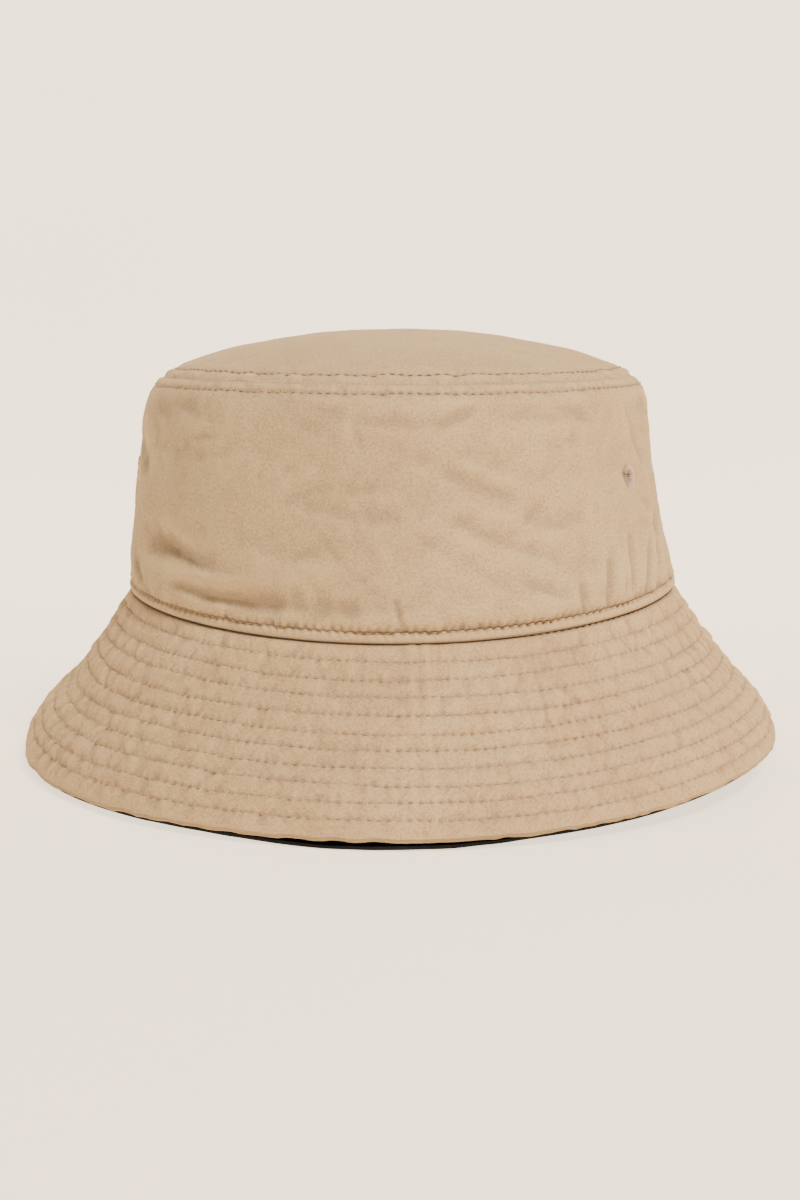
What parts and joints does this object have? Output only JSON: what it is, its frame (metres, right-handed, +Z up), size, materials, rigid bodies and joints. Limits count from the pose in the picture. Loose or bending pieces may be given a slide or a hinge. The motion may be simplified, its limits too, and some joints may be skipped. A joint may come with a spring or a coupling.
{
  "type": "bucket hat",
  "caption": "Reversible cotton bucket hat with an oval tip, an upright wall with sewn eyelets, and a sloping brim stiffened by rows of topstitching.",
  "frame": {"origin": "middle of the hat's footprint, on the surface its brim stands on", "axes": "+Z up through the tip; -Y the front; X across the side seams, +X the wearer's left when the hat is worn facing -Y"},
  "size_m": [0.251, 0.261, 0.139],
  "materials": {
    "tan_twill": "matte cotton twill",
    "black_twill": "matte cotton twill",
    "interlining": "matte non-woven",
    "tan_thread": "spun thread",
    "black_thread": "spun thread",
    "eyelet_thread": "buttonhole stitches"
  },
  "bodies": {
    "root": {"crown_tip": "tan_twill", "crown_panel_front": "tan_twill", "crown_panel_rear": "tan_twill", "brim_upper_left": "tan_twill", "brim_upper_right": "tan_twill", "lining_tip": "black_twill", "lining_panel_front": "black_twill", "lining_panel_rear": "black_twill", "brim_under_left": "black_twill", "brim_under_right": "black_twill", "brim_interlining": "interlining", "tip_topstitch": "tan_thread", "wall_topstitch": "tan_thread", "base_topstitch": "tan_thread", "brim_topstitch_turn_01": "tan_thread", "brim_topstitch_turn_02": "tan_thread", "brim_topstitch_turn_03": "tan_thread", "brim_topstitch_turn_04": "tan_thread", "brim_topstitch_turn_05": "tan_thread", "brim_topstitch_turn_06": "tan_thread", "brim_topstitch_turn_07": "tan_thread", "brim_topstitch_turn_08": "tan_thread", "brim_topstitch_turn_09": "tan_thread", "brim_topstitch_turn_10": "tan_thread", "base_bobbin_thread": "black_thread", "lining_tip_topstitch": "black_thread", "lining_wall_topstitch": "black_thread", "brim_bobbin_turn_01": "black_thread", "brim_bobbin_turn_02": "black_thread", "brim_bobbin_turn_03": "black_thread", "brim_bobbin_turn_04": "black_thread", "brim_bobbin_turn_05": "black_thread", "brim_bobbin_turn_06": "black_thread", "brim_bobbin_turn_07": "black_thread", "brim_bobbin_turn_08": "black_thread", "brim_bobbin_turn_09": "black_thread", "brim_bobbin_turn_10": "black_thread", "eyelet_right_front": "eyelet_thread", "eyelet_right_rear": "eyelet_thread", "eyelet_left_front": "eyelet_thread", "eyelet_left_rear": "eyelet_thread"}
  },
  "joints": []
}
